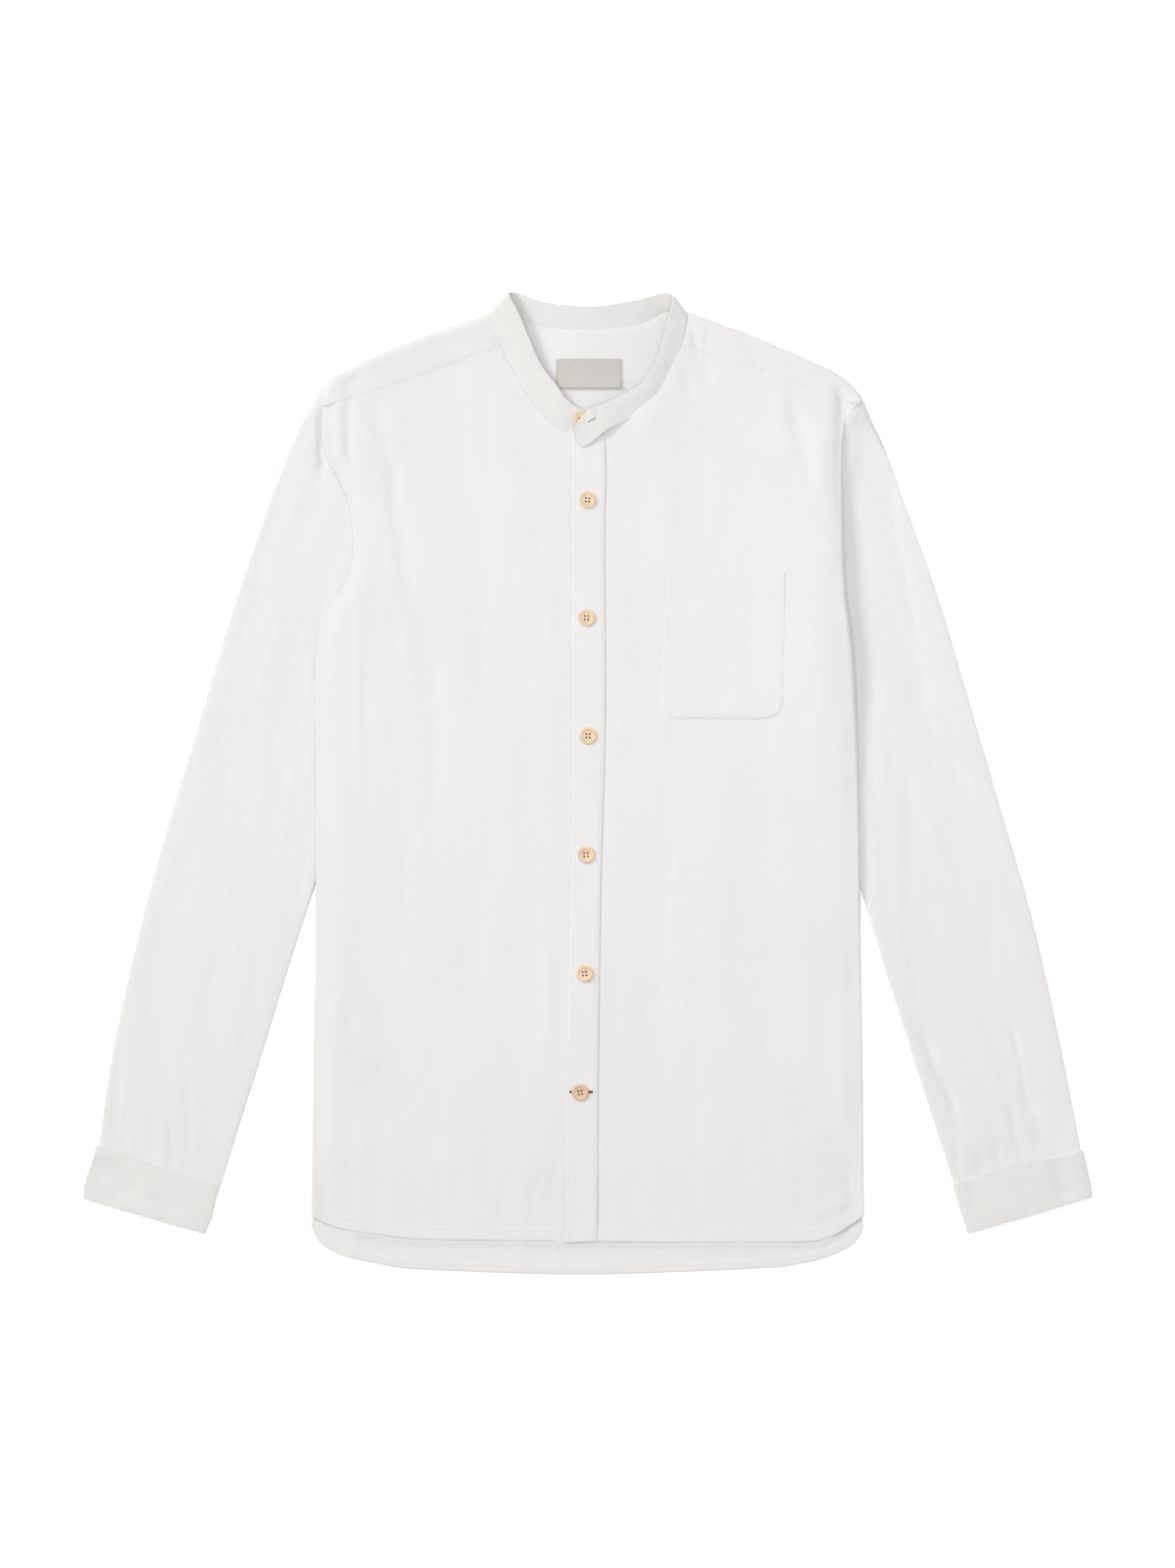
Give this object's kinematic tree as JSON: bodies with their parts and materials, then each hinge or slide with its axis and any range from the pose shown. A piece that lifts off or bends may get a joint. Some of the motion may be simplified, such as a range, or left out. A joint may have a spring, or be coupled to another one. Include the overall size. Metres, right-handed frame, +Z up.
{
  "type": "mandarin collar shirt",
  "caption": "Long-sleeved band-collar shirt laid flat and buttoned, with a placket front, chest pocket, cuffs and a longer back tail.",
  "frame": {"origin": "on the surface the shirt lies on, under the middle of its outline", "axes": "+X to the wearer's left, +Y towards the collar, +Z up out of the shirt's front"},
  "size_m": [0.8238, 0.8011, 0.027],
  "materials": {
    "shirting": "off-white slubby linen and cotton, plain weave, matt, softly creased",
    "firm_shirting": "the same off-white cloth over a light interlining, edge-stitched",
    "label_tape": "warm grey woven tape, bare, with a darker stitched edge",
    "button": "satin tan corozo-like disc with a raised rim and four holes"
  },
  "bodies": {
    "root": {"back": "shirting", "yoke": "shirting", "front_left": "shirting", "front_right": "shirting", "pocket": "shirting", "sleeve_left": "shirting", "sleeve_right": "shirting", "collar_band": "firm_shirting", "placket": "firm_shirting", "cuff_left": "firm_shirting", "cuff_right": "firm_shirting", "neck_label": "label_tape", "button_collar": "button", "button_1": "button", "button_2": "button", "button_3": "button", "button_4": "button", "button_5": "button", "button_6": "button"}
  },
  "joints": []
}
